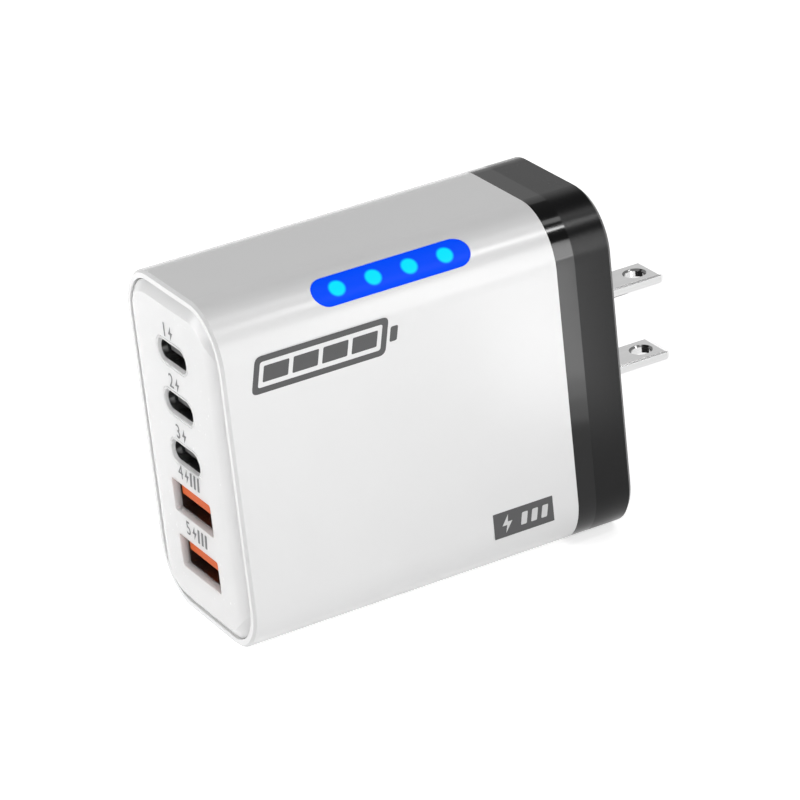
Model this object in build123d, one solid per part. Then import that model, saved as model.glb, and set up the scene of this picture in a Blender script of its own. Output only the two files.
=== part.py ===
from build123d import *
from math import cos, radians, sin
import os

# A five-port wall charger: a rounded sleeve with a raised port panel in front, a trim ring and a plug
# cap with two flat blades behind, and a light bar in one long upper corner.
# +X runs from the port panel to the blade tips, -Y is the side that the light bar faces, and +Z is up.
# The origin is on the standing surface, under the middle of the whole length. Sizes are millimetres.

# Sleeve
body_width = 31.2
body_height = 54.5
corner_radius = 8.6
shell_length = 54.5
shell_wall = 2.0
rim_width = 1.2  # the lip that frames the port panel
rim_edge_break = 0.4
fit_gap = 0.1  # room around a piece that slides into another

# Trim ring and plug cap
ring_length = 3.1
cap_length = 6.4
cap_edge_break = 0.6
cap_back_wall = 2.4
spigot_wall = 1.6
spigot_depth = 5.0  # how far the cap reaches into the sleeve

# Port panel
panel_rise = 0.65  # the panel's face stands this far in front of the rim
panel_dip = 0.3  # the foot of its sloped edge lies this far behind the rim
panel_wall = 1.7
panel_seam = 0.2
panel_bevel = 1.6  # how far in from its foot the sloped edge reaches
crown_reach = 3.6  # how far in from its foot the face falls away along the long sides
crown_dip = 0.4  # the foot of the long sides lies this far behind the rim
clip_length = 6.0
clip_wall = 1.2
clip_depth = 3.0

# Column of ports, centred on the body's height
usb_c_count = 3
usb_c_pitch = 8.1
usb_a_count = 2
usb_a_pitch = 9.2
port_group_step = 8.0  # from the last small port to the first large one
port_depth = 12.6  # from the panel's face to the port board

# Small port
usb_c_width = 9.2
usb_c_height = 3.4
usb_c_metal = 0.28
usb_c_window_gap = 0.12
usb_c_outline_gap = 0.28  # from the window to the fine groove around it
usb_c_outline_width = 0.14
usb_c_outline_depth = 0.15
usb_c_setback = 0.45
usb_c_base_depth = 5.0
usb_c_tongue_width = 6.7
usb_c_tongue_thickness = 0.75
usb_c_tongue_setback = 0.9  # from the metal mouth to the tongue's tip
usb_c_contact_count = 8
usb_c_contact_pitch = 0.7
usb_c_contact_width = 0.4
usb_c_contact_length = 3.4

# Large port
usb_a_width = 13.1
usb_a_height = 5.7
usb_a_corner = 0.3
usb_a_metal = 0.3
usb_a_lip_side = 0.12  # the window stands this far outside the metal mouth
usb_a_lip_top = 0.08
usb_a_window_corner = 0.4
usb_a_pocket = 0.45  # how far the metal mouth enters the panel's back
usb_a_base_depth = 3.0
usb_a_tongue_width = 11.1
usb_a_tongue_thickness = 1.84
usb_a_tongue_top_gap = 0.8
usb_a_tongue_setback = 1.15  # from the panel's face to the tongue's tip
usb_a_contact_count = 4
usb_a_contact_pitch = 2.25
usb_a_contact_width = 1.1
usb_a_contact_length = 6.0
contact_thickness = 0.08
insert_gap = 0.03  # room around an insulator pressed into a metal port

# Light bar
light_length = 25.5
light_width = 4.6
light_offset = 29.35  # from the rim to the middle of the bar
light_angle = 48.6  # degrees up from the side
lens_flange = 1.0
lens_flange_wall = 0.8
lens_leg_length = 1.4
lens_leg_width = 2.4
led_count = 4
led_pitch = 5.87
led_side = 2.6
led_height = 1.6
led_edge_break = 0.4
led_gap = 0.15
light_board_thickness = 0.8
light_board_width = 3.4

# Plug blades
blade_spacing = 12.7
blade_width = 6.35
blade_thickness = 1.5
blade_length = 15.9
blade_tip_corner = 0.7
blade_tip_bevel = 1.0
blade_tip_thickness = 0.8
blade_edge_break = 0.2
blade_hole_diameter = 3.1
blade_hole_break = 0.3
blade_hole_distance = 12.4  # from the cap's back face
blade_shoulder_length = 1.6
blade_shoulder_step = 0.9
blade_tail_width = 4.0
blade_tail_length = 5.5
retainer_depth = 3.4
retainer_margin = 2.0

# Boards
board_thickness = 1.2
port_board_gap = 1.4
port_board_corner = 3.2
main_board_edge_gap = 4.8
main_board_end_gap = 3.6
rail_wall = 1.0
rail_gap = 0.12
rail_grip = 0.9
rail_start = 2.0
rail_length = 22.0

# Strips from the blades to the main board
strip_width = 2.6
strip_thickness = 0.5
strip_foot = 3.0

# Far side of the main board: chips, pad and heat spreader, counted in from the sleeve's wall
chip_height = 0.9
chip_length = 8.0
rectifier_length = 6.0
chip_spread = 13.0
pad_thickness = 0.6
pad_length = 24.0
pad_height = 14.0
spreader_thickness = 0.8
spreader_length = 28.0
spreader_height = 32.0
spreader_gap = 0.25

# Mains side of the main board
fuse_length = 8.5
fuse_width = 4.0
fuse_height = 3.4
fuse_edge_break = 0.5
fuse_edge_gap = 1.2
choke_side = 9.2
choke_leg = 2.3
choke_height = 3.6
choke_wire = 0.8
choke_winding_length = 4.2
choke_setback = 11.0
bulk_diameter = 9.6
bulk_length = 15.0
bulk_edge_gap = 0.45
bulk_setback = 13.0

# Transformer, between the mains side and the ports
core_length = 12.5
core_span = 18.5
core_plate = 2.6
core_leg = 2.6
core_post_side = 7.0
bobbin_base = 1.4
bobbin_wall = 0.7
bobbin_flange = 0.8
winding_height = 6.4
winding_depth = 1.3
winding_gap = 0.05
line_capacitor_length = 11.0
line_capacitor_width = 5.0
line_capacitor_height = 9.0
line_capacitor_edge_break = 0.5
side_part_gap = 0.5  # from a part beside the transformer to the rail
bridge_length = 8.0
bridge_width = 5.6
bridge_height = 2.8
bridge_edge_break = 0.5

# Low-voltage side
output_capacitor_count = 3
output_capacitor_diameter = 5.4
output_capacitor_height = 8.0
output_capacitor_pitch = 11.0
output_capacitor_setback = 4.4
inductor_side = 6.6
inductor_height = 3.2
inductor_corner = 0.8
inductor_edge_gap = 2.9  # from the port board's near edge

# Stations along the body
overall_length = panel_rise + shell_length + ring_length + cap_length + blade_length
front_x = -overall_length / 2
rim_x = front_x + panel_rise
seat_x = front_x + panel_wall
shell_end_x = rim_x + shell_length
ring_end_x = shell_end_x + ring_length
back_x = ring_end_x + cap_length
tip_x = back_x + blade_length
cap_floor_x = back_x - cap_back_wall
shoulder_x = cap_floor_x - blade_shoulder_length
retainer_x = cap_floor_x - retainer_depth
tail_x = shoulder_x - blade_tail_length
spigot_x = shell_end_x - spigot_depth
port_board_x = front_x + port_depth
port_board_back_x = port_board_x + board_thickness
main_board_end_x = cap_floor_x - main_board_end_gap
usb_c_mouth_x = front_x + usb_c_setback
usb_c_tip_x = usb_c_mouth_x + usb_c_tongue_setback
usb_a_tip_x = front_x + usb_a_tongue_setback
usb_a_mouth_x = seat_x - usb_a_pocket
light_x = rim_x + light_offset
strip_x = (tail_x + retainer_x) / 2
choke_x = main_board_end_x - choke_setback
bulk_x = main_board_end_x - bulk_setback
output_capacitor_x = port_board_back_x + output_capacitor_setback
transformer_x = (output_capacitor_x + choke_x) / 2
side_part_x = (output_capacitor_x + bulk_x - bulk_length / 2) / 2

# Heights and the main board's place across the body
mid_z = body_height / 2
port_column = (usb_c_count - 1) * usb_c_pitch + port_group_step + (usb_a_count - 1) * usb_a_pitch
usb_c_heights = [mid_z + port_column / 2 - i * usb_c_pitch for i in range(usb_c_count)]
usb_a_heights = [usb_c_heights[-1] - port_group_step - i * usb_a_pitch for i in range(usb_a_count)]
clip_heights = (body_height / 4, body_height * 3 / 4)
blade_heights = {"upper": mid_z + blade_spacing / 2, "lower": mid_z - blade_spacing / 2}
board_low_z = shell_wall + main_board_edge_gap
board_high_z = body_height - board_low_z
bulk_heights = {
    1: board_low_z + bulk_edge_gap + bulk_diameter / 2,
    2: board_high_z - bulk_edge_gap - bulk_diameter / 2,
}
line_capacitor_z = board_low_z + rail_grip + side_part_gap + line_capacitor_width / 2
bridge_z = board_high_z - rail_grip - side_part_gap - bridge_width / 2
port_board_near_y = shell_wall + port_board_gap - body_width / 2
inductor_y = port_board_near_y + inductor_edge_gap + inductor_side / 2
spreader_y = body_width / 2 - shell_wall - spreader_gap
board_back_y = spreader_y - spreader_thickness - pad_thickness - chip_height
board_face_y = board_back_y - board_thickness

# Insets of the nested sections
panel_inset = rim_width + panel_seam
sleeve_bore_inset = shell_wall + fit_gap
clip_inset = sleeve_bore_inset + clip_wall
spigot_inset = sleeve_bore_inset + spigot_wall
lens_back_inset = sleeve_bore_inset + lens_flange_wall

# Light bar, measured outwards from the axis of the corner
light_board_radius = corner_radius - lens_back_inset - led_gap - led_height


def across(x, y=0.0, z=mid_z):
    """Plane across the body, facing +X, with +Y and +Z as its own axes."""
    return Plane(origin=(x, y, z), x_dir=(0, 1, 0), z_dir=(1, 0, 0))


def on_board(x, z, lift=0.0):
    """Plane on the main board's near face, facing -Y, with +X and +Z as its own axes."""
    return Plane(origin=(x, board_face_y - lift, z), x_dir=(1, 0, 0), z_dir=(0, -1, 0))


def on_corner(radius, x=light_x):
    """Plane across the light bar's direction, this far out from the axis of the corner."""
    out_y, out_z = -cos(radians(light_angle)), sin(radians(light_angle))
    origin_y = corner_radius - body_width / 2 + radius * out_y
    origin_z = body_height - corner_radius + radius * out_z
    return Plane(origin=(x, origin_y, origin_z), x_dir=(1, 0, 0), z_dir=(0, out_y, out_z))


def section(inset):
    """The body's rounded section, drawn in by an inset."""
    return RectangleRounded(body_width - 2 * inset, body_height - 2 * inset, corner_radius - inset)


def slab(x_low, x_high, inset):
    """A length of the body's section."""
    return extrude(across(x_low) * section(inset), amount=x_high - x_low)


def sleeve_tube(x_low, x_high, outer_inset, inner_inset):
    """A length of tube between two insets of the section."""
    return slab(x_low, x_high, outer_inset) - slab(x_low, x_high, inner_inset)


def block(x_span, y_span, z_span):
    """A box between the low and high values along each axis."""
    size = [high - low for low, high in (x_span, y_span, z_span)]
    return Pos(x_span[0], y_span[0], z_span[0]) * Box(*size, align=(Align.MIN, Align.MIN, Align.MIN))


def centred(middle, size):
    """The low and high values of a size about its middle."""
    return (middle - size / 2, middle + size / 2)


def light_slot(margin, x_low, x_high, outer_inset, inner_inset):
    """The light bar's pill, grown by a margin, within one layer of the corner."""
    pill = SlotOverall(light_length + 2 * margin, light_width + 2 * margin)
    prism = extrude(on_corner(0) * pill, amount=corner_radius + shell_wall)
    return prism & sleeve_tube(x_low, x_high, outer_inset, inner_inset)


def board_rails():
    """Four ribs inside the sleeve that grip the main board's upper and lower edges."""
    x_low = port_board_back_x + rail_start
    x_span = (x_low, x_low + rail_length)
    near_span = (board_face_y - rail_gap - rail_wall, board_face_y - rail_gap)
    far_span = (board_back_y + rail_gap, board_back_y + rail_gap + rail_wall)
    ribs = Part()
    for y_span in (near_span, far_span):
        ribs += block(x_span, y_span, (0, board_low_z + rail_grip))
        ribs += block(x_span, y_span, (board_high_z - rail_grip, body_height))
    return ribs & slab(*x_span, shell_wall / 2)


def make_body_shell():
    """White sleeve with a ledge for the panel, board rails and the light bar's slot."""
    sleeve = slab(rim_x, shell_end_x, 0)
    sleeve = chamfer(sleeve.edges().group_by(Axis.X)[0], rim_edge_break)
    sleeve -= slab(rim_x, seat_x, rim_width)
    sleeve -= slab(seat_x, shell_end_x, shell_wall)
    sleeve += board_rails()
    pill = SlotOverall(light_length + 2 * fit_gap, light_width + 2 * fit_gap)
    return sleeve - extrude(on_corner(0) * pill, amount=corner_radius + shell_wall)


def panel_plate():
    """Plate with a sloped edge all round its face."""
    plate = slab(front_x, seat_x, panel_inset)
    face = plate.faces().sort_by(Axis.X)[0]
    return chamfer(face.edges(), panel_bevel, panel_rise + panel_dip, reference=face)


def panel_crown():
    """Block whose face falls away smoothly towards the two long sides."""
    drop = panel_rise + crown_dip
    radius = (crown_reach**2 + drop**2) / (2 * drop)
    width = body_width - 2 * (panel_inset + crown_reach - radius)
    crown = block((front_x, seat_x + radius), centred(0, width), (0, body_height))
    return fillet(crown.edges().filter_by(Axis.Z).group_by(Axis.X)[0], radius)


def make_port_panel():
    """White front panel: a crowned face with a sloped edge, clips inside the sleeve and five windows."""
    panel = panel_plate() & panel_crown()
    panel += panel_clips()
    for z in usb_c_heights:
        panel -= usb_c_window(z)
    for z in usb_a_heights:
        panel -= usb_a_window(z)
    return panel


def panel_clips():
    """Four tabs behind the panel that enter the sleeve along its long sides."""
    tabs = Part()
    for side in (-1, 1):
        y_span = sorted(side * (body_width / 2 - inset) for inset in (sleeve_bore_inset, clip_inset))
        for z in clip_heights:
            tabs += block((seat_x, seat_x + clip_depth), y_span, centred(z, clip_length))
    return tabs


def usb_c_pill(margin):
    """Outline of a small port's metal mouth, grown by a margin."""
    return SlotOverall(usb_c_width + 2 * margin, usb_c_height + 2 * margin)


def usb_c_window(z):
    """Pill-shaped hole for a small port, with a fine groove around it."""
    face = across(front_x, z=z)
    line_start = usb_c_window_gap + usb_c_outline_gap
    line = usb_c_pill(line_start + usb_c_outline_width) - usb_c_pill(line_start)
    return extrude(face * usb_c_pill(usb_c_window_gap), amount=panel_wall) + extrude(
        face * line, amount=usb_c_outline_depth
    )


def usb_a_window(z):
    """Rectangular hole for a large port, with a pocket behind it for the metal mouth."""
    hole = RectangleRounded(
        usb_a_width - 2 * usb_a_metal + 2 * usb_a_lip_side,
        usb_a_height - 2 * usb_a_metal + 2 * usb_a_lip_top,
        usb_a_window_corner,
    )
    pocket = Rectangle(usb_a_width + 2 * fit_gap, usb_a_height + 2 * fit_gap)
    return extrude(across(front_x, z=z) * hole, amount=panel_wall) + extrude(
        across(usb_a_mouth_x, z=z) * pocket, amount=usb_a_pocket
    )


def make_usb_c_shell(z):
    """Drawn metal mouth of a small port."""
    wall = usb_c_pill(0) - usb_c_pill(-usb_c_metal)
    return extrude(across(usb_c_mouth_x, z=z) * wall, amount=port_board_x - usb_c_mouth_x)


def make_usb_c_tongue(z):
    """Insulator of a small port: a base in the metal mouth and a thin tongue."""
    base_x = port_board_x - usb_c_base_depth
    base = usb_c_pill(-usb_c_metal - insert_gap)
    tongue = block(
        (usb_c_tip_x, port_board_x),
        centred(0, usb_c_tongue_width),
        centred(z, usb_c_tongue_thickness),
    )
    tongue = chamfer(tongue.edges().filter_by(Axis.Z).group_by(Axis.X)[0], usb_c_tongue_thickness / 2)
    return extrude(across(base_x, z=z) * base, amount=usb_c_base_depth) + tongue


def make_usb_c_contacts(z):
    """Two rows of contact strips on the faces of a small port's tongue."""
    strips = []
    x_high = port_board_x - usb_c_base_depth
    x_span = (x_high - usb_c_contact_length, x_high)
    face = usb_c_tongue_thickness / 2
    for i in range(usb_c_contact_count):
        y = (i - (usb_c_contact_count - 1) / 2) * usb_c_contact_pitch
        for z_span in ((z + face, z + face + contact_thickness), (z - face - contact_thickness, z - face)):
            strips.append(block(x_span, centred(y, usb_c_contact_width), z_span))
    return Compound(children=strips)


def make_usb_a_shell(z):
    """Folded metal mouth of a large port, behind its window."""
    outer = Rectangle(usb_a_width, usb_a_height)
    outer = chamfer(outer.vertices(), usb_a_corner)
    inner = Rectangle(usb_a_width - 2 * usb_a_metal, usb_a_height - 2 * usb_a_metal)
    return extrude(across(usb_a_mouth_x, z=z) * (outer - inner), amount=port_board_x - usb_a_mouth_x)


def usb_a_tongue_span(z):
    """Lowest and highest points of a large port's tongue."""
    top = z + usb_a_height / 2 - usb_a_metal - usb_a_tongue_top_gap
    return (top - usb_a_tongue_thickness, top)


def make_usb_a_tongue(z):
    """Orange insulator of a large port: a base in the metal mouth and a thick tongue."""
    room = 2 * (usb_a_metal + insert_gap)
    base = Rectangle(usb_a_width - room, usb_a_height - room)
    base_x = port_board_x - usb_a_base_depth
    tongue = block((usb_a_tip_x, port_board_x), centred(0, usb_a_tongue_width), usb_a_tongue_span(z))
    return extrude(across(base_x, z=z) * base, amount=usb_a_base_depth) + tongue


def make_usb_a_contacts(z):
    """Four contact strips under a large port's tongue."""
    x_high = port_board_x - usb_a_base_depth
    x_span = (x_high - usb_a_contact_length, x_high)
    low = usb_a_tongue_span(z)[0]
    strips = []
    for i in range(usb_a_contact_count):
        y = (i - (usb_a_contact_count - 1) / 2) * usb_a_contact_pitch
        strips.append(block(x_span, centred(y, usb_a_contact_width), (low - contact_thickness, low)))
    return Compound(children=strips)


def make_light_lens():
    """Blue light bar, flush with the corner, with a flange behind the sleeve's wall and two legs."""
    x_span = centred(light_x, light_length + 2 * lens_flange)
    lens = light_slot(0, *x_span, 0, lens_back_inset)
    lens += light_slot(lens_flange, *x_span, sleeve_bore_inset, lens_back_inset)
    leg_reach = corner_radius - sleeve_bore_inset - light_board_radius - lens_flange_wall / 2
    leg = Rectangle(lens_leg_length, lens_leg_width)
    for side in (-1, 1):
        leg_x = light_x + side * (light_length - lens_leg_length) / 2
        lens += extrude(on_corner(light_board_radius, leg_x) * leg, amount=leg_reach)
    return lens


def make_light_board():
    """Narrow board that stands on the light bar's legs."""
    strip = Rectangle(light_length, light_board_width)
    return extrude(on_corner(light_board_radius) * strip, amount=-light_board_thickness)


def make_status_led(index):
    """One square lamp on the narrow board."""
    x = light_x + (index - (led_count - 1) / 2) * led_pitch
    lamp = extrude(Rectangle(led_side, led_side), amount=led_height)
    lamp = chamfer(lamp.edges().group_by(Axis.Z)[-1], led_edge_break)
    return on_corner(light_board_radius, x) * lamp


def make_trim_ring():
    """Gloss ring around the cap's spigot, between sleeve and cap."""
    return sleeve_tube(shell_end_x, ring_end_x, 0, shell_wall)


def make_rear_cap():
    """Satin plug cap: a closed end with two blade slots and a spigot that enters the sleeve."""
    cap = slab(ring_end_x, back_x, 0)
    cap = chamfer(cap.edges().group_by(Axis.X)[-1], cap_edge_break)
    cap += slab(spigot_x, ring_end_x, sleeve_bore_inset)
    cap -= slab(spigot_x, cap_floor_x, spigot_inset)
    for z in blade_heights.values():
        cap -= block(
            (cap_floor_x, back_x),
            centred(0, blade_width + 2 * fit_gap),
            centred(z, blade_thickness + 2 * fit_gap),
        )
    return cap


def make_plug_blade(z):
    """Flat blade with a bevelled tip, a round hole, a shoulder inside the cap and a tail."""
    blade = block((cap_floor_x, tip_x), centred(0, blade_width), centred(z, blade_thickness))
    blade = chamfer(blade.edges().filter_by(Axis.Z).group_by(Axis.X)[-1], blade_tip_corner)
    blade = chamfer(blade.edges().filter_by(Axis.X), blade_edge_break)
    side = Polyline(
        (cap_floor_x, blade_thickness / 2),
        (tip_x - blade_tip_bevel, blade_thickness / 2),
        (tip_x, blade_tip_thickness / 2),
        (tip_x, -blade_tip_thickness / 2),
        (tip_x - blade_tip_bevel, -blade_thickness / 2),
        (cap_floor_x, -blade_thickness / 2),
        close=True,
    )
    side_plane = Plane(origin=(0, blade_width / 2, z), x_dir=(1, 0, 0), z_dir=(0, -1, 0))
    blade &= extrude(side_plane * make_face(side), amount=blade_width)
    hole = Plane(origin=(back_x + blade_hole_distance, 0, z))
    blade -= hole * Cylinder(blade_hole_diameter / 2, blade_thickness)
    for side_sign in (-1, 1):
        sink = Cone(
            blade_hole_diameter / 2,
            blade_hole_diameter / 2 + blade_hole_break,
            blade_hole_break,
            align=(Align.CENTER, Align.CENTER, Align.MAX),
        )
        face_plane = Plane(
            origin=(back_x + blade_hole_distance, 0, z + side_sign * blade_thickness / 2),
            z_dir=(0, 0, side_sign),
        )
        blade -= face_plane * sink
    shoulder_width = blade_width + 2 * blade_shoulder_step
    z_span = centred(z, blade_thickness)
    blade += block((shoulder_x, cap_floor_x), centred(0, shoulder_width), z_span)
    return blade + block((tail_x, shoulder_x), centred(0, blade_tail_width), z_span)


def make_blade_retainer():
    """Insulating block against the inside of the cap that traps the blades' shoulders."""
    width = blade_width + 2 * blade_shoulder_step + 2 * retainer_margin
    height = blade_spacing + blade_thickness + 2 * retainer_margin
    retainer = block((retainer_x, cap_floor_x), centred(0, width), centred(mid_z, height))
    for z in blade_heights.values():
        z_span = centred(z, blade_thickness + 2 * fit_gap)
        shoulder_room = blade_width + 2 * (blade_shoulder_step + fit_gap)
        retainer -= block((shoulder_x, cap_floor_x), centred(0, shoulder_room), z_span)
        retainer -= block((retainer_x, shoulder_x), centred(0, blade_tail_width + 2 * fit_gap), z_span)
    return retainer


def make_blade_contact(z, side):
    """Bent strip on the outer face of a blade's tail, with a foot on the main board."""
    near_z = z + side * blade_thickness / 2
    arm_z = sorted((near_z, near_z + side * strip_thickness))
    foot_z = sorted((near_z, near_z + side * strip_foot))
    x_span = centred(strip_x, strip_width)
    arm = block(x_span, (-blade_tail_width / 2, board_face_y), arm_z)
    return arm + block(x_span, (board_face_y - strip_thickness, board_face_y), foot_z)


def make_port_board():
    """Board across the body that carries the five ports."""
    margin = 2 * (shell_wall + port_board_gap)
    outline = Rectangle(body_width - margin, body_height - margin)
    outline = chamfer(outline.vertices(), port_board_corner)
    return extrude(across(port_board_x) * outline, amount=board_thickness)


def make_main_board():
    """Board along the far side, from the port board to the plug end."""
    return block(
        (port_board_back_x, main_board_end_x),
        (board_face_y, board_back_y),
        (board_low_z, board_high_z),
    )


def make_chip(x, length):
    """Flat chip on the far face of the main board."""
    y_span = (board_back_y, board_back_y + chip_height)
    return block(centred(x, length), y_span, centred(mid_z, length))


def make_thermal_pad():
    """Soft pad over the two chips."""
    y_low = board_back_y + chip_height
    return block(
        centred(transformer_x, pad_length),
        (y_low, y_low + pad_thickness),
        centred(mid_z, pad_height),
    )


def make_heat_spreader():
    """Aluminium sheet between the pad and the sleeve's wall."""
    y_span = (spreader_y - spreader_thickness, spreader_y)
    return block(centred(transformer_x, spreader_length), y_span, centred(mid_z, spreader_height))


def make_fuse():
    """Boxed fuse along the board's end, below the blades."""
    body = extrude(Rectangle(fuse_width, fuse_length), amount=fuse_height)
    body = chamfer(body.edges().group_by(Axis.Z)[-1], fuse_edge_break)
    return on_board(strip_x, board_low_z + fuse_edge_gap + fuse_length / 2) * body


def square_tube(inner, outer, low, high):
    """Square tube around an upright axis, between two half widths and two heights."""
    walls = Rectangle(2 * outer, 2 * outer) - Rectangle(2 * inner, 2 * inner)
    return extrude(Plane.XY.offset(low) * walls, amount=high - low)


def make_choke_core():
    """Square ferrite frame that stands off the board by one layer of wire."""
    frame = square_tube(choke_side / 2 - choke_leg, choke_side / 2, choke_wire, choke_wire + choke_height)
    return on_board(choke_x, mid_z) * frame


def make_choke_winding(side):
    """Copper wire wound around one limb of the choke's frame."""
    limb_z = mid_z + side * (choke_side - choke_leg) / 2
    limb_y = board_face_y - choke_wire - choke_height / 2
    outside = Rectangle(choke_height + 2 * choke_wire, choke_leg + 2 * choke_wire)
    hollow = Rectangle(choke_height + 2 * winding_gap, choke_leg + 2 * winding_gap)
    start = across(choke_x - choke_winding_length / 2, limb_y, limb_z)
    return extrude(start * (outside - hollow), amount=choke_winding_length)


def make_bulk_capacitor(z):
    """Sleeved can lying on the board, along the body."""
    start = across(bulk_x - bulk_length / 2, board_face_y - bulk_diameter / 2, z)
    return extrude(start * Circle(bulk_diameter / 2), amount=bulk_length)


def make_transformer_core():
    """Two ferrite halves closed around the bobbin: plates, side legs and a square post."""
    low = bobbin_base
    window = winding_height + 2 * bobbin_flange + 2 * winding_gap
    plate = Rectangle(core_length, core_span)
    post = Rectangle(core_post_side, core_post_side)
    leg = Rectangle(core_length, core_leg)
    core = extrude(Plane.XY.offset(low) * plate, amount=core_plate)
    core += extrude(Plane.XY.offset(low + core_plate + window) * plate, amount=core_plate)
    core += extrude(Plane.XY.offset(low + core_plate) * post, amount=window)
    for side in (-1, 1):
        place = Pos(0, side * (core_span - core_leg) / 2, low + core_plate)
        core += place * extrude(leg, amount=window)
    return on_board(transformer_x, mid_z) * core


def make_transformer_bobbin():
    """Spool around the core's post, joined to a base plate by two cheeks beside the core."""
    inner = core_post_side / 2 + winding_gap
    outer = inner + bobbin_wall
    flange = outer + winding_depth
    low = bobbin_base + core_plate + winding_gap
    high = low + winding_height + 2 * bobbin_flange
    bobbin = square_tube(inner, outer, low, high)
    bobbin += square_tube(inner, flange, low, low + bobbin_flange)
    bobbin += square_tube(inner, flange, high - bobbin_flange, high)
    plate = Rectangle(core_length + 2 * (bobbin_wall + winding_gap), core_span)
    bobbin += extrude(plate, amount=bobbin_base)
    cheek_reach = core_length / 2 + winding_gap
    for side in (-1, 1):
        span = sorted((side * outer, side * (cheek_reach + bobbin_wall)))
        bobbin += block(span, centred(0, core_post_side), (low, low + bobbin_flange))
        wall = sorted((side * cheek_reach, side * (cheek_reach + bobbin_wall)))
        bobbin += block(wall, centred(0, core_post_side), (0, low + bobbin_flange))
    return on_board(transformer_x, mid_z) * bobbin


def make_transformer_winding():
    """Taped copper winding on the spool."""
    inner = core_post_side / 2 + bobbin_wall + 2 * winding_gap
    outer = inner + winding_depth - winding_gap
    low = bobbin_base + core_plate + bobbin_flange + 2 * winding_gap
    high = low + winding_height - 2 * winding_gap
    return on_board(transformer_x, mid_z) * square_tube(inner, outer, low, high)


def make_line_capacitor():
    """Boxed film capacitor below the transformer."""
    body = extrude(Rectangle(line_capacitor_length, line_capacitor_width), amount=line_capacitor_height)
    body = chamfer(body.edges().filter_by(Axis.Z), line_capacitor_edge_break)
    return on_board(side_part_x, line_capacitor_z) * body


def make_bridge_rectifier():
    """Flat rectifier above the transformer, with a bevelled top."""
    body = extrude(Rectangle(bridge_length, bridge_width), amount=bridge_height)
    body = chamfer(body.edges().group_by(Axis.Z)[-1], bridge_edge_break)
    return on_board(side_part_x, bridge_z) * body


def make_output_capacitor(index):
    """Small can standing on the board behind the ports."""
    z = mid_z + (index - (output_capacitor_count - 1) / 2) * output_capacitor_pitch
    can = extrude(Circle(output_capacitor_diameter / 2), amount=output_capacitor_height)
    return on_board(output_capacitor_x, z) * can


def make_port_inductor(z):
    """Moulded inductor on the back of the port board, behind one small port."""
    body = extrude(Rectangle(inductor_side, inductor_side), amount=inductor_height)
    body = chamfer(body.edges().filter_by(Axis.Z), inductor_corner)
    return across(port_board_back_x, inductor_y, z) * body


pieces = {
    "body_shell": make_body_shell(),
    "port_panel": make_port_panel(),
    "light_lens": make_light_lens(),
    "light_board": make_light_board(),
    "trim_ring": make_trim_ring(),
    "rear_cap": make_rear_cap(),
    "blade_retainer": make_blade_retainer(),
    "port_board": make_port_board(),
    "main_board": make_main_board(),
    "power_switch": make_chip(transformer_x + chip_spread / 2, chip_length),
    "rectifier_switch": make_chip(transformer_x - chip_spread / 2, rectifier_length),
    "thermal_pad": make_thermal_pad(),
    "heat_spreader": make_heat_spreader(),
    "fuse": make_fuse(),
    "line_choke_core": make_choke_core(),
    "line_capacitor": make_line_capacitor(),
    "bridge_rectifier": make_bridge_rectifier(),
    "transformer_core": make_transformer_core(),
    "transformer_bobbin": make_transformer_bobbin(),
    "transformer_winding": make_transformer_winding(),
}
for number, height in enumerate(usb_c_heights, start=1):
    pieces[f"usb_c_shell_{number}"] = make_usb_c_shell(height)
    pieces[f"usb_c_tongue_{number}"] = make_usb_c_tongue(height)
    pieces[f"usb_c_contacts_{number}"] = make_usb_c_contacts(height)
    pieces[f"port_inductor_{number}"] = make_port_inductor(height)
for number, height in enumerate(usb_a_heights, start=1):
    pieces[f"usb_a_shell_{number}"] = make_usb_a_shell(height)
    pieces[f"usb_a_tongue_{number}"] = make_usb_a_tongue(height)
    pieces[f"usb_a_contacts_{number}"] = make_usb_a_contacts(height)
for number in range(led_count):
    pieces[f"status_led_{number + 1}"] = make_status_led(number)
for number in range(output_capacitor_count):
    pieces[f"output_capacitor_{number + 1}"] = make_output_capacitor(number)
for number, height in bulk_heights.items():
    pieces[f"bulk_capacitor_{number}"] = make_bulk_capacitor(height)
for number, side in enumerate((-1, 1), start=1):
    pieces[f"line_choke_winding_{number}"] = make_choke_winding(side)
for (name, height), side in zip(blade_heights.items(), (1, -1)):
    pieces[f"plug_blade_{name}"] = make_plug_blade(height)
    pieces[f"blade_contact_{name}"] = make_blade_contact(height, side)

os.makedirs("parts", exist_ok=True)
for name, piece in pieces.items():
    export_step(piece, f"parts/{name}.step")
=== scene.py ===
"""Looks of a five-port wall charger.

White sleeve and port panel, lit blue bar, black plug end and nickel blades.
"""

import logging
import math
from dataclasses import dataclass
from enum import Enum
from typing import Any, Iterable, Mapping, Optional, Sequence

import bpy
from mathutils import Matrix, Vector


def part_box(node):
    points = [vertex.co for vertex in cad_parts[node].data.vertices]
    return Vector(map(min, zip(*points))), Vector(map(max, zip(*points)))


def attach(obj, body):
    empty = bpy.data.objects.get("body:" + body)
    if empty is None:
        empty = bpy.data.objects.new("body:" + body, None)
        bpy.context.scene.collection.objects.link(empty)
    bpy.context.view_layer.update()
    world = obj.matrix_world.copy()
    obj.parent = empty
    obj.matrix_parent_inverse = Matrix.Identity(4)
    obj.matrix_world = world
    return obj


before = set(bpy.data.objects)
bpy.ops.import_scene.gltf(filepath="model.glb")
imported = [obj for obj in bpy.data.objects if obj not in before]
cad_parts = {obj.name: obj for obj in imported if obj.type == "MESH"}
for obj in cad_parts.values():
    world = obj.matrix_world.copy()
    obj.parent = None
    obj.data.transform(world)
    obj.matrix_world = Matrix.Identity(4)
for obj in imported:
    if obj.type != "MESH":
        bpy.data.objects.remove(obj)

MM = 0.001
ROOT = "root"
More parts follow.
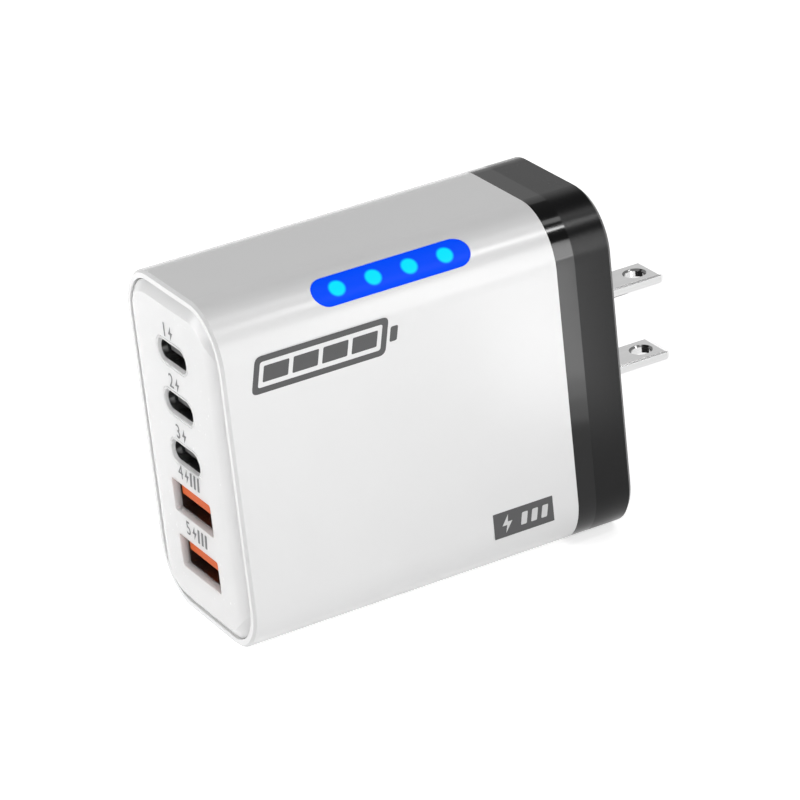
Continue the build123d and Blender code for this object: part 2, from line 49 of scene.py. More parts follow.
FIGURE_SHARE = 0.72  # height of the built-in face's figures, as a share of its size
log = logging.getLogger("charger")

Point = tuple[float, float]
Loop = list[Point]
Tree = bpy.types.NodeTree
Socket = bpy.types.NodeSocket


def linear(code: str) -> tuple[float, float, float, float]:
    """Turn an sRGB colour into the linear values that shaders use.

    Args:
        code: Colour as "#RRGGBB".

    Returns:
        Linear red, green, blue and an alpha of 1.
    """
    parts = [int(code[i:i + 2], 16) / 255 for i in (1, 3, 5)]
    red, green, blue = (c / 12.92 if c <= 0.04045 else ((c + 0.055) / 1.055) ** 2.4 for c in parts)
    return red, green, blue, 1.0


def per_mm(size: float) -> float:
    """Scale of a texture whose features are this many millimetres wide."""
    return 1 / (size * MM)


def add_node(
    tree: Tree,
    kind: str,
    values: Optional[Mapping[Any, Any]] = None,
    links: Optional[Mapping[Any, Socket]] = None,
    **settings: Any,
) -> bpy.types.Node:
    """Add one node with its settings, values and links.

    Args:
        tree: Node tree that takes the node.
        kind: Blender's identifier of the node.
        values: Default values by input name or number.
        links: Outputs to link in, by input name or number.
        settings: Properties of the node itself.

    Returns:
        The new node.
    """
    node = tree.nodes.new(kind)
    for name, value in settings.items():
        setattr(node, name, value)
    for socket, value in (values or {}).items():
        node.inputs[socket].default_value = value
    for socket, source in (links or {}).items():
        tree.links.new(source, node.inputs[socket])
    return node


def noise(tree: Tree, scale: float, detail: float, place: Socket) -> Socket:
    """Add a noise pattern of this scale and detail."""
    values = {"Scale": scale, "Detail": detail}
    return add_node(tree, "ShaderNodeTexNoise", values, {"Vector": place}).outputs["Fac"]


def mix_colours(tree: Tree, first: str, second: str, share: Socket) -> Socket:
    """Add a mix of two sRGB colours, where the share is that of the second."""
    colours = {6: linear(first), 7: linear(second)}
    return add_node(tree, "ShaderNodeMix", colours, {0: share}, data_type="RGBA").outputs[2]


def uneven(tree: Tree, middle: float, spread: float, pattern: Socket) -> Socket:
    """Add a value that a pattern varies to both sides of its middle."""
    limits = {"To Min": middle - spread, "To Max": middle + spread}
    return add_node(tree, "ShaderNodeMapRange", limits, {"Value": pattern}).outputs["Result"]


def relief(tree: Tree, height_mm: float, pattern: Socket) -> Socket:
    """Add a bump of a real height."""
    size = {"Strength": 1.0, "Distance": height_mm * MM}
    return add_node(tree, "ShaderNodeBump", size, {"Height": pattern}).outputs["Normal"]


def start_material(name: str) -> tuple[bpy.types.Material, Tree]:
    """Make an empty node material.

    Args:
        name: Name of the material.

    Returns:
        The material and its node tree.
    """
    material = bpy.data.materials.new(name)
    material.use_nodes = True
    material.node_tree.nodes.clear()
    return material, material.node_tree


def close_material(tree: Tree, values: Mapping[str, Any], links: Mapping[str, Socket]) -> None:
    """Add the surface shader, with its values and links, and the output."""
    shader = add_node(tree, "ShaderNodeBsdfPrincipled", values, links)
    add_node(tree, "ShaderNodeOutputMaterial", links={"Surface": shader.outputs["BSDF"]})


def dress(nodes: Iterable[str], material: bpy.types.Material) -> None:
    """Give CAD nodes one material.

    Args:
        nodes: Names of the nodes.
        material: What they are made of.
    """
    for name in nodes:
        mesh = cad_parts[name].data
        mesh.materials.clear()
        mesh.materials.append(material)
        log.info("%s: %s", name, material.name)


def numbered(stem: str, count: int) -> list[str]:
    """Names of repeated nodes, from 1 up."""
    return [f"{stem}_{number}" for number in range(1, count + 1)]


@dataclass(frozen=True)
class MouldedPlastic:
    """Injection-moulded plastic: an even colour with faint flow mottling and the fine grain of its mould."""

    name: str
    colour: str
    flow_colour: str
    roughness: float
    roughness_spread: float
    ior: float
    grain_mm: float
    grain_height_mm: float
    flow_mm: float = 9.0
    scatter_mm: float = 0.0

    def material(self) -> bpy.types.Material:
        """Build the material.

        Returns:
            A material with flow mottling, uneven gloss and grain.
        """
        material, tree = start_material(self.name)
        place = add_node(tree, "ShaderNodeTexCoord").outputs["Object"]
        flow = noise(tree, per_mm(self.flow_mm), 3.0, place)
        grain = noise(tree, per_mm(self.grain_mm), 2.0, place)
        close_material(
            tree,
            {
                "IOR": self.ior,
                "Subsurface Weight": 1.0 if self.scatter_mm else 0.0,
                "Subsurface Radius": (1.0, 1.0, 1.0),
                "Subsurface Scale": self.scatter_mm * MM,
            },
            {
                "Base Color": mix_colours(tree, self.colour, self.flow_colour, flow),
                "Roughness": uneven(tree, self.roughness, self.roughness_spread, grain),
                "Normal": relief(tree, self.grain_height_mm, grain),
            },
        )
        return material


@dataclass(frozen=True)
class PlatedMetal:
    """Plated strip or sheet: bright metal with fine draw lines along its length."""

    name: str
    colour: str
    line_colour: str
    roughness: float
    roughness_spread: float
    line_mm: float
    line_length_mm: float
    line_height_mm: float

    def material(self) -> bpy.types.Material:
        """Build the material.

        Returns:
            A metal with lines along X.
        """
        material, tree = start_material(self.name)
        place = add_node(tree, "ShaderNodeTexCoord").outputs["Object"]
        across = per_mm(self.line_mm)
        stretch = {"Scale": (per_mm(self.line_length_mm), across, across)}
        stretched = add_node(tree, "ShaderNodeMapping", stretch, {"Vector": place}).outputs["Vector"]
        lines = noise(tree, 1.0, 3.0, stretched)
        close_material(
            tree,
            {"Metallic": 1.0},
            {
                "Base Color": mix_colours(tree, self.colour, self.line_colour, lines),
                "Roughness": uneven(tree, self.roughness, self.roughness_spread, lines),
                "Normal": relief(tree, self.line_height_mm, lines),
            },
        )
        return material


@dataclass(frozen=True)
class BandedFinish:
    """Surface with regular bands: wire turns side by side, or board tracks under a lacquer."""

    name: str
    colour: str
    band_colour: str
    roughness: float
    metallic: float
    band_mm: float
    band_height_mm: float
    wander: float

    def material(self) -> bpy.types.Material:
        """Build the material.

        Returns:
            A material with bands of a real spacing.
        """
        material, tree = start_material(self.name)
        place = add_node(tree, "ShaderNodeTexCoord").outputs["Object"]
        wave_turn = 2 * math.pi / 20  # a wave texture of scale 1 repeats every 2 pi / 20 units
        bands = add_node(
            tree,
            "ShaderNodeTexWave",
            {"Scale": wave_turn * per_mm(self.band_mm), "Distortion": self.wander, "Detail": 1.0},
            {"Vector": place},
            bands_direction="Z",
        ).outputs["Fac"]
        close_material(
            tree,
            {"Roughness": self.roughness, "Metallic": self.metallic},
            {
                "Base Color": mix_colours(tree, self.colour, self.band_colour, bands),
                "Normal": relief(tree, self.band_height_mm, bands),
            },
        )
        return material


def shared(finish: MouldedPlastic | PlatedMetal | BandedFinish) -> bpy.types.Material:
    """Material of a finish, made at its first use."""
    return bpy.data.materials.get(finish.name) or finish.material()


# Semi-gloss ABS from a fine-polished mould: bright and even, with soft highlights on its rounds
WHITE_ABS = MouldedPlastic("moulded_white_abs", "#F6F6F6", "#F3F3F3", 0.24, 0.03, 1.5, 0.5, 0.0006)
# The same ABS in the thinner panel, where light soaks through to the walls of the port windows
PANEL_ABS = MouldedPlastic(
    "moulded_translucent_white_abs", "#F6F6F6", "#F3F3F3", 0.26, 0.03, 1.5, 0.5, 0.0006, scatter_mm=2.0
)
# High-gloss ABS from a mirror-polished mould: nearly black, with clear reflections
PIANO_BLACK_ABS = MouldedPlastic("polished_black_abs", "#040405", "#060607", 0.11, 0.02, 1.4, 2.5, 0.0004)
# Satin polycarbonate from a stoned mould: nearly black, with a soft sheen along its rounds
SATIN_BLACK_PC = MouldedPlastic(
    "satin_black_polycarbonate", "#0A0A0B", "#0F0F10", 0.26, 0.03, 1.31, 0.4, 0.0008
)
# Moulded orange PBT of the large ports' tongues: flat and warm
ORANGE_PBT = MouldedPlastic("moulded_orange_pbt", "#DE6119", "#D45812", 0.5, 0.05, 1.35, 0.5, 0.002, 4.0)
# Moulded black LCP: dull, slightly streaked
BLACK_LCP = MouldedPlastic("moulded_black_lcp", "#101011", "#191918", 0.42, 0.06, 1.6, 0.4, 0.002, 3.0)
# Bright nickel over brass blades: neutral grey metal with faint lines along it
NICKEL_BLADE = PlatedMetal("brushed_nickel_plate", "#DCDCDC", "#CDCDCD", 0.12, 0.03, 0.25, 7.0, 0.0002)
# Bright nickel over stamped steel of the small ports: a pale rim round a dark mouth
BRIGHT_SHELL = PlatedMetal("bright_nickel_steel", "#E8E8E8", "#DADADA", 0.2, 0.04, 0.3, 4.0, 0.0003)
# Stamped steel of the large ports, sunk behind their windows: duller, and its colour darkened as painted
# shade for the recess it sits in
SHADE_DARKENED_SHELL = PlatedMetal("stamped_steel_painted_shade", "#A8A7A5", "#8F8E8C", 0.3, 0.06, 0.3, 4.0, 0.001)
# Gold flash over a stamped strip: warm and bright
GOLD_FLASH = PlatedMetal("gold_flashed_strip", "#E0B45C", "#C4933D", 0.22, 0.05, 0.2, 2.0, 0.001)
# Drawn aluminium: pale and satin
DRAWN_ALUMINIUM = PlatedMetal("drawn_aluminium", "#D4D6D8", "#BFC1C4", 0.32, 0.06, 0.25, 5.0, 0.0015)
# Green solder mask over copper tracks: tracks show as paler bands
SOLDER_MASK = BandedFinish("green_solder_mask", "#0E4A2A", "#1B6B3F", 0.3, 0.0, 1.3, 0.02, 2.0)
# Enamelled copper wire: turns side by side
ENAMELLED_COPPER = BandedFinish("enamelled_copper_wire", "#8A4A22", "#C9783C", 0.3, 1.0, 0.4, 0.12, 0.3)
# Sintered ferrite: dark grey, dull and granular
FERRITE = MouldedPlastic("sintered_ferrite", "#2C2C2F", "#38383B", 0.72, 0.08, 1.9, 0.3, 0.01, 2.0)
# Shrunk PVC sleeve of a can: dark and shiny
PVC_SLEEVE = MouldedPlastic("shrunk_pvc_sleeve", "#161C28", "#1C2432", 0.25, 0.05, 1.53, 0.8, 0.002, 5.0)
# Filled silicone: soft, grey-blue and dull
SILICONE_PAD = MouldedPlastic("filled_silicone", "#8C95A3", "#98A0AC", 0.8, 0.06, 1.41, 0.4, 0.01, 3.0)
# Boxed film capacitor: yellow polypropylene, satin
YELLOW_PP = MouldedPlastic(
    "moulded_yellow_polypropylene", "#D9A33A", "#D19930", 0.4, 0.05, 1.49, 0.5, 0.002, 4.0
)
# Glazed ceramic of the fuse: cream, with a wet shine
CREAM_CERAMIC = MouldedPlastic(
    "glazed_cream_ceramic", "#E4DFD0", "#DAD4C3", 0.22, 0.04, 1.6, 0.8, 0.002, 4.0
)
# Pad-printed ink: dark grey, slightly dull, laid on thin
DARK_INK = MouldedPlastic("pad_printed_dark_ink", "#505051", "#545455", 0.45, 0.04, 1.5, 0.3, 0.0006, 4.0)
# Pad-printed ink of the port marks: mid grey
GREY_INK = MouldedPlastic("pad_printed_grey_ink", "#6C6C6E", "#727274", 0.45, 0.04, 1.5, 0.3, 0.0006, 4.0)
# Pale ink over the dark plate
PALE_INK = MouldedPlastic("pad_printed_pale_ink", "#E2E2E2", "#DADADA", 0.45, 0.04, 1.5, 0.3, 0.0006, 4.0)


class Face(Enum):
    """Face of the charger that carries print: its directions right, up and out."""

    SIDE = ((1, 0, 0), (0, 0, 1), (0, -1, 0))
    FRONT = ((0, -1, 0), (0, 0, 1), (-1, 0, 0))

    def turned(self) -> Matrix:
        """Turn of a drawing in the XY plane onto this face."""
        return Matrix(self.value).transposed().to_4x4()


def rounded(corners: Sequence[Point], radius: float, steps: int = 5) -> Loop:
    """Round the corners of a closed outline.

    Args:
        corners: Corners in order.
        radius: How far along each side the rounding starts.
        steps: Points along each rounded corner, less one.

    Returns:
        The outline with a short curve at each corner.
    """
    loop: Loop = []
    for index, corner in enumerate(corners):
        here = Vector(corner)
        before = Vector(corners[index - 1])
        after = Vector(corners[(index + 1) % len(corners)])
        start = here + (before - here).normalized() * radius
        end = here + (after - here).normalized() * radius
        for step in range(steps + 1):
            t = step / steps
            point = start * (1 - t) ** 2 + here * (2 * t * (1 - t)) + end * t**2
            loop.append((point.x, point.y))
    return loop


def slanted(left: float, low: float, width: float, height: float, slant: float) -> Loop:
    """Corners of a box whose sides lean to the right.

    Args:
        left: Left end of its lower edge.
        low: Its lower edge.
        width: Its width.
        height: Its height.
        slant: How far its sides lean per unit of height.

    Returns:
        The four corners, counter-clockwise.
    """
    top = low + height
    lean_low, lean_top = slant * low, slant * top
    return [
        (left + lean_low, low),
        (left + width + lean_low, low),
        (left + width + lean_top, top),
        (left + lean_top, top),
    ]


def bolt(middle: Point, height: float) -> Loop:
    """Outline of a plain lightning bolt.

    Args:
        middle: Its middle.
        height: Its height.

    Returns:
        Six corners.
    """
    shape = [(0.08, 0.5), (-0.3, -0.08), (-0.02, -0.08), (-0.12, -0.5), (0.3, 0.1), (0.03, 0.1)]
    return [(middle[0] + x * height, middle[1] + y * height) for x, y in shape]


@dataclass(frozen=True)
class Print:
    """A thin layer of ink on one face."""

    name: str
    face: Face
    origin: Vector
    finish: MouldedPlastic
    thickness: float = 0.02 * MM
    lift: float = 0.006 * MM

    def draw(self, loops: Sequence[Loop]) -> None:
        """Lay filled outlines on the face.

        Args:
            loops: Closed outlines in the face's own directions; one inside another is a hole.
        """
        curve = bpy.data.curves.new(self.name, "CURVE")
        curve.dimensions = "2D"
        for loop in loops:
            spline = curve.splines.new("POLY")
            spline.points.add(len(loop) - 1)
            for point, (x, y) in zip(spline.points, loop):
                point.co = (x, y, 0, 1)
            spline.use_cyclic_u = True
        self.lay(curve)

    def figure(self, text: str, height: float) -> None:
        """Lay a plain figure on the face, with its middle at the origin.

        Args:
            text: The figure.
            height: Its height.
        """
        curve = bpy.data.curves.new(self.name, "FONT")
        curve.body = text
        curve.size = height / FIGURE_SHARE
        curve.align_x = "CENTER"
        curve.align_y = "CENTER"
        self.lay(curve)

    def lay(self, curve: bpy.types.Curve) -> None:
        """Turn a drawing into a thin piece that rides on the part.

        Args:
            curve: Drawing in the XY plane.
        """
        curve.fill_mode = "BOTH"
        curve.extrude = self.thickness / 2
        holder = bpy.data.objects.new(f"{self.name}_outline", curve)
        bpy.context.scene.collection.objects.link(holder)
        mesh = bpy.data.meshes.new_from_object(holder.evaluated_get(bpy.context.evaluated_depsgraph_get()))
        bpy.data.objects.remove(holder)
        mesh.name = self.name
        out = Vector(self.face.value[2])
        mesh.transform(Matrix.Translation(self.origin + out * self.lift) @ self.face.turned())
        mesh.materials.clear()
        mesh.materials.append(shared(self.finish))
        piece = bpy.data.objects.new(self.name, mesh)
        bpy.context.scene.collection.objects.link(piece)
        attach(piece, ROOT)
        log.info("%s: %s", self.name, self.finish.name)


@dataclass
class Housing:
    """White sleeve and port panel, with the marks printed on the sleeve's near side."""

    gauge_start: float = 4.0 * MM
    gauge_low: float = 41.5 * MM
    gauge_length: float = 21.5 * MM
    gauge_height: float = 5.6 * MM
    gauge_stroke: float = 0.9 * MM
    gauge_gap: float = 0.7 * MM
    gauge_bars: int = 4
    gauge_slant: float = 0.22
    gauge_corner: float = 1.0 * MM
    gauge_inner_corner: float = 0.4 * MM
    bar_corner: float = 0.2 * MM
    end_gap: float = 0.5 * MM
    end_width: float = 1.2 * MM
    end_share: float = 0.4  # height of the gauge's end, as a share of its own
    end_corner: float = 0.3 * MM
    badge_start: float = 40.0 * MM
    badge_low: float = 7.0 * MM
    badge_length: float = 10.2 * MM
    badge_height: float = 4.1 * MM
    badge_corner: float = 0.12 * MM
    badge_bolt_start: float = 2.3 * MM
    badge_bolt_height: float = 2.9 * MM
    badge_bars: int = 3
    badge_bar_start: float = 4.3 * MM
    badge_bar_pitch: float = 1.75 * MM
    badge_bar_width: float = 1.0 * MM
    badge_bar_low: float = 0.26  # share of the badge's height
    badge_bar_height: float = 0.48  # share of the badge's height
    badge_slant: float = 0.2
    badge_marks_lift: float = 0.012 * MM

    def build(self) -> None:
        """Dress the sleeve and panel and print the side."""
        dress(["body_shell"], shared(WHITE_ABS))
        dress(["port_panel"], shared(PANEL_ABS))
        self.print_gauge()
        self.print_badge()

    def print_gauge(self) -> None:
        """Print a leaning charge gauge: a frame, its bars and an end."""
        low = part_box("body_shell")[0]
        origin = Vector((low.x + self.gauge_start, low.y, self.gauge_low))
        stroke, gap, slant = self.gauge_stroke, self.gauge_gap, self.gauge_slant
        inner_length = self.gauge_length - 2 * stroke
        inner_height = self.gauge_height - 2 * stroke
        outer = slanted(0, 0, self.gauge_length, self.gauge_height, slant)
        inner = slanted(stroke, stroke, inner_length, inner_height, slant)
        loops = [rounded(outer, self.gauge_corner), rounded(inner, self.gauge_inner_corner)]
        bar_width = (inner_length - gap * (self.gauge_bars + 1)) / self.gauge_bars
        for index in range(self.gauge_bars):
            left = stroke + gap + index * (bar_width + gap)
            bar = slanted(left, stroke + gap, bar_width, inner_height - 2 * gap, slant)
            loops.append(rounded(bar, self.bar_corner))
        end_height = self.gauge_height * self.end_share
        end_low = (self.gauge_height - end_height) / 2
        end = slanted(self.gauge_length + self.end_gap, end_low, self.end_width, end_height, slant)
        loops.append(rounded(end, self.end_corner))
        Print("charge_gauge_print", Face.SIDE, origin, DARK_INK).draw(loops)

    def print_badge(self) -> None:
        """Print a dark plate with a pale bolt and bars by the far lower corner."""
        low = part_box("body_shell")[0]
        origin = Vector((low.x + self.badge_start, low.y, self.badge_low))
        length, height = self.badge_length, self.badge_height
        plate = rounded([(0, 0), (length, 0), (length, height), (0, height)], self.badge_corner)
        Print("side_plate_print", Face.SIDE, origin, DARK_INK).draw([plate])
        marks = [bolt((self.badge_bolt_start, height / 2), self.badge_bolt_height)]
        bar_low, bar_height = height * self.badge_bar_low, height * self.badge_bar_height
        for index in range(self.badge_bars):
            left = self.badge_bar_start + index * self.badge_bar_pitch
            bar = slanted(left, bar_low, self.badge_bar_width, bar_height, self.badge_slant)
            marks.append(rounded(bar, self.bar_corner))
        Print("side_plate_marks", Face.SIDE, origin, PALE_INK, lift=self.badge_marks_lift).draw(marks)


@dataclass
class PortColumn:
    """Five ports in the panel, with a small mark printed above each."""

    small_count: int = 3
    large_count: int = 2
    mark_height: float = 2.3 * MM
    mark_rise: float = 0.7 * MM
    small_mark_shift: float = 1.5 * MM
    large_mark_shift: float = 2.6 * MM
    bolt_reach: float = 2.0 * MM
    large_bars: int = 3
    bars_reach: float = 3.1 * MM
    bar_pitch: float = 1.2 * MM
    bar_width: float = 0.6 * MM
    bar_slant: float = 0.15
    bar_corner: float = 0.1 * MM

    def build(self) -> None:
        """Dress the ports and print their marks."""
        small, large = self.small_count, self.large_count
        dress(numbered("usb_c_shell", small), shared(BRIGHT_SHELL))
        # The large ports' shells get a steel whose colour is darkened as painted shade for their recess
        dress(numbered("usb_a_shell", large), shared(SHADE_DARKENED_SHELL))
        dress(numbered("usb_c_tongue", small), shared(BLACK_LCP))
        dress(numbered("usb_a_tongue", large), shared(ORANGE_PBT))
        dress(numbered("usb_c_contacts", small) + numbered("usb_a_contacts", large), shared(GOLD_FLASH))
        for number in range(1, small + 1):
            self.print_mark(number, f"usb_c_shell_{number}", self.small_mark_shift, bars=0)
        for number in range(1, large + 1):
            self.print_mark(small + number, f"usb_a_shell_{number}", self.large_mark_shift, self.large_bars)

    def print_mark(self, number: int, shell: str, shift: float, bars: int) -> None:
        """Print a port's number, a bolt and some bars above it.

        Args:
            number: The port's number, from the top.
            shell: The port's metal shell.
            shift: How far the number lies to the left of the port's middle.
            bars: How many bars follow the bolt.
        """
        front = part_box("port_panel")[0].x
        port_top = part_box(shell)[1].z
        middle = Vector((front, 0, port_top + self.mark_rise + self.mark_height / 2))
        left = middle + Vector((0, shift, 0))
        Print(f"port_number_{number}", Face.FRONT, left, GREY_INK).figure(str(number), self.mark_height)
        loops = [bolt((self.bolt_reach - shift, 0), self.mark_height)]
        for index in range(bars):
            start = self.bars_reach - shift + index * self.bar_pitch
            bar = slanted(start, -self.mark_height / 2, self.bar_width, self.mark_height, self.bar_slant)
            loops.append(rounded(bar, self.bar_corner))
        Print(f"port_mark_{number}", Face.FRONT, middle, GREY_INK).draw(loops)


@dataclass
class LightBar:
    """Blue bar in the near upper corner, with lamps that glow through it."""

    lamp_count: int = 4
    spot_radius: float = 1.22 * MM
    spot_edge: float = 0.26 * MM
    lean: float = 48.6  # degrees up from the side
    haze_mm: float = 3.0
    tint_colour: str = "#041A8C"
    haze_colour: str = "#05209A"
    glow_colour: str = "#004CEC"
    spot_colour: str = "#00F0F8"
    chip_colour: str = "#BFF6FF"
    epoxy_colour: str = "#CFEFF5"

    def build(self) -> None:
        """Dress the lens, the lamps and their board."""
        dress(["light_lens"], self.lens_material())
        dress(numbered("status_led", self.lamp_count), self.lamp_material())
        dress(["light_board"], shared(SOLDER_MASK))

    def lamp_middles(self) -> list[Vector]:
        """Middles of the lamps, from front to back."""
        boxes = [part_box(name) for name in numbered("status_led", self.lamp_count)]
        return [(low + high) / 2 for low, high in boxes]

    def lens_material(self) -> bpy.types.Material:
        """Tinted polycarbonate, moulded clear: deep blue, with a round hot spot at each lamp behind it.

        Returns:
            A material whose glow is worked out from the lamps' places.
        """
        material, tree = start_material("lit_blue_polycarbonate")
        lamps = self.lamp_middles()
        pitch = (lamps[-1].x - lamps[0].x) / (self.lamp_count - 1)
        place = add_node(tree, "ShaderNodeTexCoord").outputs["Object"]
        local = add_node(
            tree, "ShaderNodeVectorMath", {1: lamps[0]}, {0: place}, operation="SUBTRACT"
        ).outputs["Vector"]
        lean = math.radians(self.lean)
        along = add_node(
            tree, "ShaderNodeVectorMath", {1: (1 / pitch, 0, 0)}, {0: local}, operation="DOT_PRODUCT"
        ).outputs["Value"]
        across = add_node(
            tree,
            "ShaderNodeVectorMath",
            {1: (0, math.sin(lean), math.cos(lean))},
            {0: local},
            operation="DOT_PRODUCT",
        ).outputs["Value"]
        nearest = add_node(tree, "ShaderNodeMath", links={0: along}, operation="ROUND").outputs[0]
        nearest = add_node(
            tree, "ShaderNodeClamp", {"Max": self.lamp_count - 1.0}, {"Value": nearest}
        ).outputs["Result"]
        off = add_node(tree, "ShaderNodeMath", links={0: along, 1: nearest}, operation="SUBTRACT").outputs[0]
        off = add_node(tree, "ShaderNodeMath", {1: pitch}, {0: off}, operation="MULTIPLY").outputs[0]
        flat = add_node(tree, "ShaderNodeCombineXYZ", links={"X": off, "Y": across}).outputs["Vector"]
        reach = add_node(tree, "ShaderNodeVectorMath", links={0: flat}, operation="LENGTH").outputs["Value"]
        spot = add_node(
            tree,
            "ShaderNodeMapRange",
            {
                "From Min": self.spot_radius + self.spot_edge,
                "From Max": self.spot_radius - self.spot_edge,
            },
            {"Value": reach},
            interpolation_type="SMOOTHSTEP",
        ).outputs["Result"]
        haze = noise(tree, per_mm(self.haze_mm), 2.0, place)
        close_material(
            tree,
            {"Roughness": 0.3, "IOR": 1.3, "Specular IOR Level": 0.1, "Emission Strength": 0.9},
            {
                "Base Color": mix_colours(tree, self.tint_colour, self.haze_colour, haze),
                "Emission Color": mix_colours(tree, self.glow_colour, self.spot_colour, spot),
            },
        )
        return material

    def lamp_material(self) -> bpy.types.Material:
        """Water-clear epoxy over a lit chip: pale blue, brightest at its middle.

        Returns:
            A lit material.
        """
        material, tree = start_material("lit_clear_epoxy")
        shade = add_node(tree, "ShaderNodeLayerWeight", {"Blend": 0.4}).outputs["Facing"]
        close_material(
            tree,
            {
                "Base Color": linear(self.epoxy_colour),
                "Roughness": 0.12,
                "IOR": 1.54,
                "Emission Strength": 1.0,
            },
            {"Emission Color": mix_colours(tree, self.chip_colour, self.spot_colour, shade)},
        )
        return material


@dataclass
class PlugEnd:
    """Gloss ring, satin cap and nickel blades, with what holds the blades inside."""

    blades: tuple[str, str] = ("upper", "lower")

    def build(self) -> None:
        """Dress the plug end."""
        dress(["trim_ring"], shared(PIANO_BLACK_ABS))
        dress(["rear_cap"], shared(SATIN_BLACK_PC))
        dress([f"plug_blade_{name}" for name in self.blades], shared(NICKEL_BLADE))
        dress([f"blade_contact_{name}" for name in self.blades], shared(GOLD_FLASH))
        dress(["blade_retainer"], shared(BLACK_LCP))


@dataclass
class Electronics:
    """Boards and parts inside the sleeve."""

    choke_windings: int = 2
    bulk_capacitors: int = 2
    output_capacitors: int = 3
    inductors: int = 3

    def build(self) -> None:
        """Dress the inner parts."""
        dress(["port_board", "main_board"], shared(SOLDER_MASK))
        packages = ["power_switch", "rectifier_switch", "bridge_rectifier", "transformer_bobbin"]
        dress(packages, shared(BLACK_LCP))
        cores = ["transformer_core", "line_choke_core"] + numbered("port_inductor", self.inductors)
        dress(cores, shared(FERRITE))
        windings = ["transformer_winding"] + numbered("line_choke_winding", self.choke_windings)
        dress(windings, shared(ENAMELLED_COPPER))
        dress(numbered("bulk_capacitor", self.bulk_capacitors), shared(PVC_SLEEVE))
        cans = numbered("output_capacitor", self.output_capacitors)
        dress(cans + ["heat_spreader"], shared(DRAWN_ALUMINIUM))
        dress(["thermal_pad"], shared(SILICONE_PAD))
        dress(["line_capacitor"], shared(YELLOW_PP))
        dress(["fuse"], shared(CREAM_CERAMIC))


@dataclass(frozen=True)
class Softbox:
    """A studio lamp: where it stands, where it points and how bright its face is, with white paper as 1."""

    name: str
    place: tuple[float, float, float]
    aim: tuple[float, float, float]
    width: float
    height: float
    glow: float

    def build(self) -> None:
        """Hang the lamp and aim it."""
        lamp = bpy.data.lights.new(self.name, "AREA")
        lamp.shape = "RECTANGLE"
        lamp.size = self.width
        lamp.size_y = self.height
        lamp.energy = self.glow * math.pi * self.width * self.height
        holder = bpy.data.objects.new(self.name, lamp)
        holder.location = self.place
        holder.rotation_mode = "QUATERNION"
        holder.rotation_quaternion = (Vector(self.aim) - Vector(self.place)).to_track_quat("-Z", "Y")
        holder.visible_camera = False
        bpy.context.scene.collection.objects.link(holder)


def seen_rays(tree: Tree) -> Socket:
    """Add what tells seen, mirrored and refracted rays from those that only carry light.

    Args:
        tree: Node tree that takes the nodes.

    Returns:
        An output of 1 for a seen ray, or 0.
    """
    path = add_node(tree, "ShaderNodeLightPath").outputs
    kinds = {0: path["Is Glossy Ray"], 1: path["Is Transmission Ray"]}
    mirrored = add_node(tree, "ShaderNodeMath", links=kinds, operation="MAXIMUM").outputs[0]
    kinds = {0: path["Is Camera Ray"], 1: mirrored}
    return add_node(tree, "ShaderNodeMath", links=kinds, operation="MAXIMUM").outputs[0]


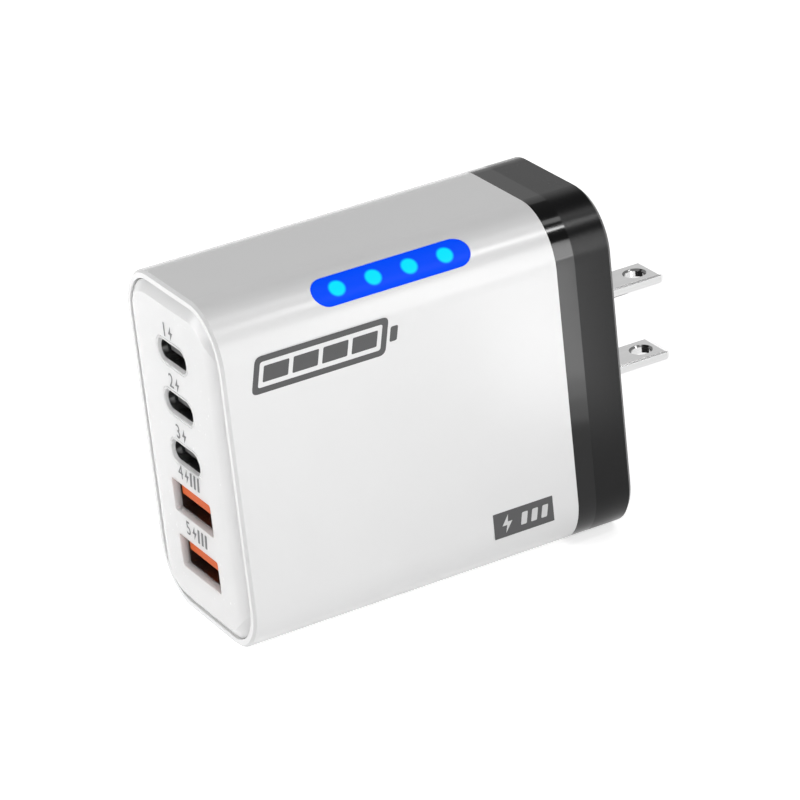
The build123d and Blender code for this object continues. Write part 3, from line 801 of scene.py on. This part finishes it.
@dataclass
class Studio:
    """White floor, soft light and the camera."""

    floor_half: float = 4.0
    floor_drop: float = 0.02 * MM
    floor_colour: str = "#F4F4F4"
    floor_glow: float = 0.66
    sky_level: float = 0.23
    lamps: tuple[Softbox, ...] = (
        # Light on the panel, from its far side
        Softbox("front_softbox", (-0.25, 0.13, 0.07), (-0.04, 0, 0.03), 0.16, 0.14, 5.7),
        # Light on the near side, close to its front upper corner, so that it falls off from there
        Softbox("side_softbox", (-0.05, -0.095, 0.06), (-0.03, -0.016, 0.045), 0.06, 0.04, 2.6),
        # Low light on the far side
        Softbox("far_softbox", (0.25, 0.42, 0.055), (0, 0, 0.03), 0.3, 0.1, 1.0),
        # Tall strip that shows in the gloss ring below its upper corner
        Softbox("tall_strip", (0.257, -0.52, 0.165), (0.016, -0.013, 0.045), 0.085, 0.33, 9.0),
        # Small lamp whose image is the streak along the near upper corner
        Softbox("streak_lamp", (0.258, -0.307, 0.514), (0.016, -0.013, 0.052), 0.07, 0.07, 28.0),
        # Dimmer panel above it
        Softbox("upper_panel", (0.258, -0.133, 0.586), (0.016, -0.013, 0.052), 0.08, 0.25, 4.0),
        # Strip along the floor, up to the tall one, that shows in the ring's side, and its fading near end
        Softbox("floor_strip", (0.1403, -0.2677, 0.001), (0.1401, -0.2673, 1.0), 0.018, 0.438, 4.4),
        Softbox("floor_strip_fade", (0.0418, -0.0672, 0.001), (0.0416, -0.0668, 1.0), 0.018, 0.009, 2.9),
        Softbox("floor_strip_end", (0.0378, -0.0591, 0.001), (0.0376, -0.0587, 1.0), 0.018, 0.009, 1.6),
        # Dim card behind, that shows in the blades' upper faces
        Softbox("back_card", (0.4, 0.75, 0.42), (0.03, 0, 0.03), 0.9, 0.7, 0.58),
    )
    azimuth: float = -26.175
    elevation: float = 24.236
    roll: float = -6.432
    distance: float = 596.709 * MM
    shift_right: float = 1.363 * MM
    shift_up: float = 1.422 * MM
    aim_behind_rim: float = 33.0 * MM
    aim_height: float = 25.0 * MM
    focal_pixels: float = 4026.684
    image_pixels: float = 800.0
    sensor: float = 36.0
    clip_near: float = 0.01
    clip_far: float = 100.0

    def build(self) -> None:
        """Set up the floor, the light and the camera."""
        self.build_floor()
        self.build_sky()
        for lamp in self.lamps:
            lamp.build()
        self.build_camera()
        bpy.context.scene.view_settings.view_transform = "Standard"

    def build_floor(self) -> None:
        """Lay a pale floor that keeps the shadow and shows white around it."""
        half, level = self.floor_half, -self.floor_drop
        mesh = bpy.data.meshes.new("studio_floor")
        corners = [(-half, -half, level), (half, -half, level), (half, half, level), (-half, half, level)]
        mesh.from_pydata(corners, [], [(0, 1, 2, 3)])
        material, tree = start_material("matt_white_paper")
        card = add_node(tree, "ShaderNodeBsdfDiffuse", {"Color": linear(self.floor_colour)})
        strength = add_node(
            tree, "ShaderNodeMath", {1: self.floor_glow}, {0: seen_rays(tree)}, operation="MULTIPLY"
        ).outputs[0]
        glow = add_node(tree, "ShaderNodeEmission", {"Color": linear("#FFFFFF")}, {"Strength": strength})
        both = add_node(
            tree, "ShaderNodeAddShader", links={0: card.outputs["BSDF"], 1: glow.outputs["Emission"]}
        )
        add_node(tree, "ShaderNodeOutputMaterial", links={"Surface": both.outputs["Shader"]})
        mesh.materials.append(material)
        floor = bpy.data.objects.new("studio_floor", mesh)
        bpy.context.scene.collection.objects.link(floor)

    def build_sky(self) -> None:
        """Surround the charger with even light."""
        world = bpy.data.worlds.new("studio_sky")
        world.use_nodes = True
        tree = world.node_tree
        tree.nodes.clear()
        sky = add_node(
            tree, "ShaderNodeBackground", {"Color": linear("#FFFFFF"), "Strength": self.sky_level}
        )
        add_node(tree, "ShaderNodeOutputWorld", links={"Surface": sky.outputs["Background"]})
        bpy.context.scene.world = world

    def build_camera(self) -> None:
        """Stand the camera where the photograph was taken."""
        azimuth, elevation, roll = (math.radians(v) for v in (self.azimuth, self.elevation, self.roll))
        back = Vector((
            math.sin(azimuth) * math.cos(elevation),
            -math.cos(azimuth) * math.cos(elevation),
            math.sin(elevation),
        ))
        level_right = Vector((math.cos(azimuth), math.sin(azimuth), 0))
        level_up = back.cross(level_right)
        right = level_right * math.cos(roll) + level_up * math.sin(roll)
        up = level_up * math.cos(roll) - level_right * math.sin(roll)
        aim = Vector((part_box("body_shell")[0].x + self.aim_behind_rim, 0, self.aim_height))
        lens = bpy.data.cameras.new("photo_camera")
        lens.sensor_width = self.sensor
        lens.lens = self.focal_pixels / self.image_pixels * self.sensor
        lens.clip_start = self.clip_near
        lens.clip_end = self.clip_far
        camera = bpy.data.objects.new("photo_camera", lens)
        turn = Matrix((right, up, back)).transposed().to_4x4()
        place = aim + right * self.shift_right + up * self.shift_up + back * self.distance
        camera.matrix_world = Matrix.Translation(place) @ turn
        bpy.context.scene.collection.objects.link(camera)
        bpy.context.scene.camera = camera


def main() -> None:
    """Dress the charger and set up the studio."""
    logging.basicConfig(level=logging.INFO, format="%(message)s")
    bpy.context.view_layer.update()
    for assembly in (Housing(), PortColumn(), LightBar(), PlugEnd(), Electronics(), Studio()):
        assembly.build()
        log.info("built %s", type(assembly).__name__)


if __name__ == "__main__":
    main()
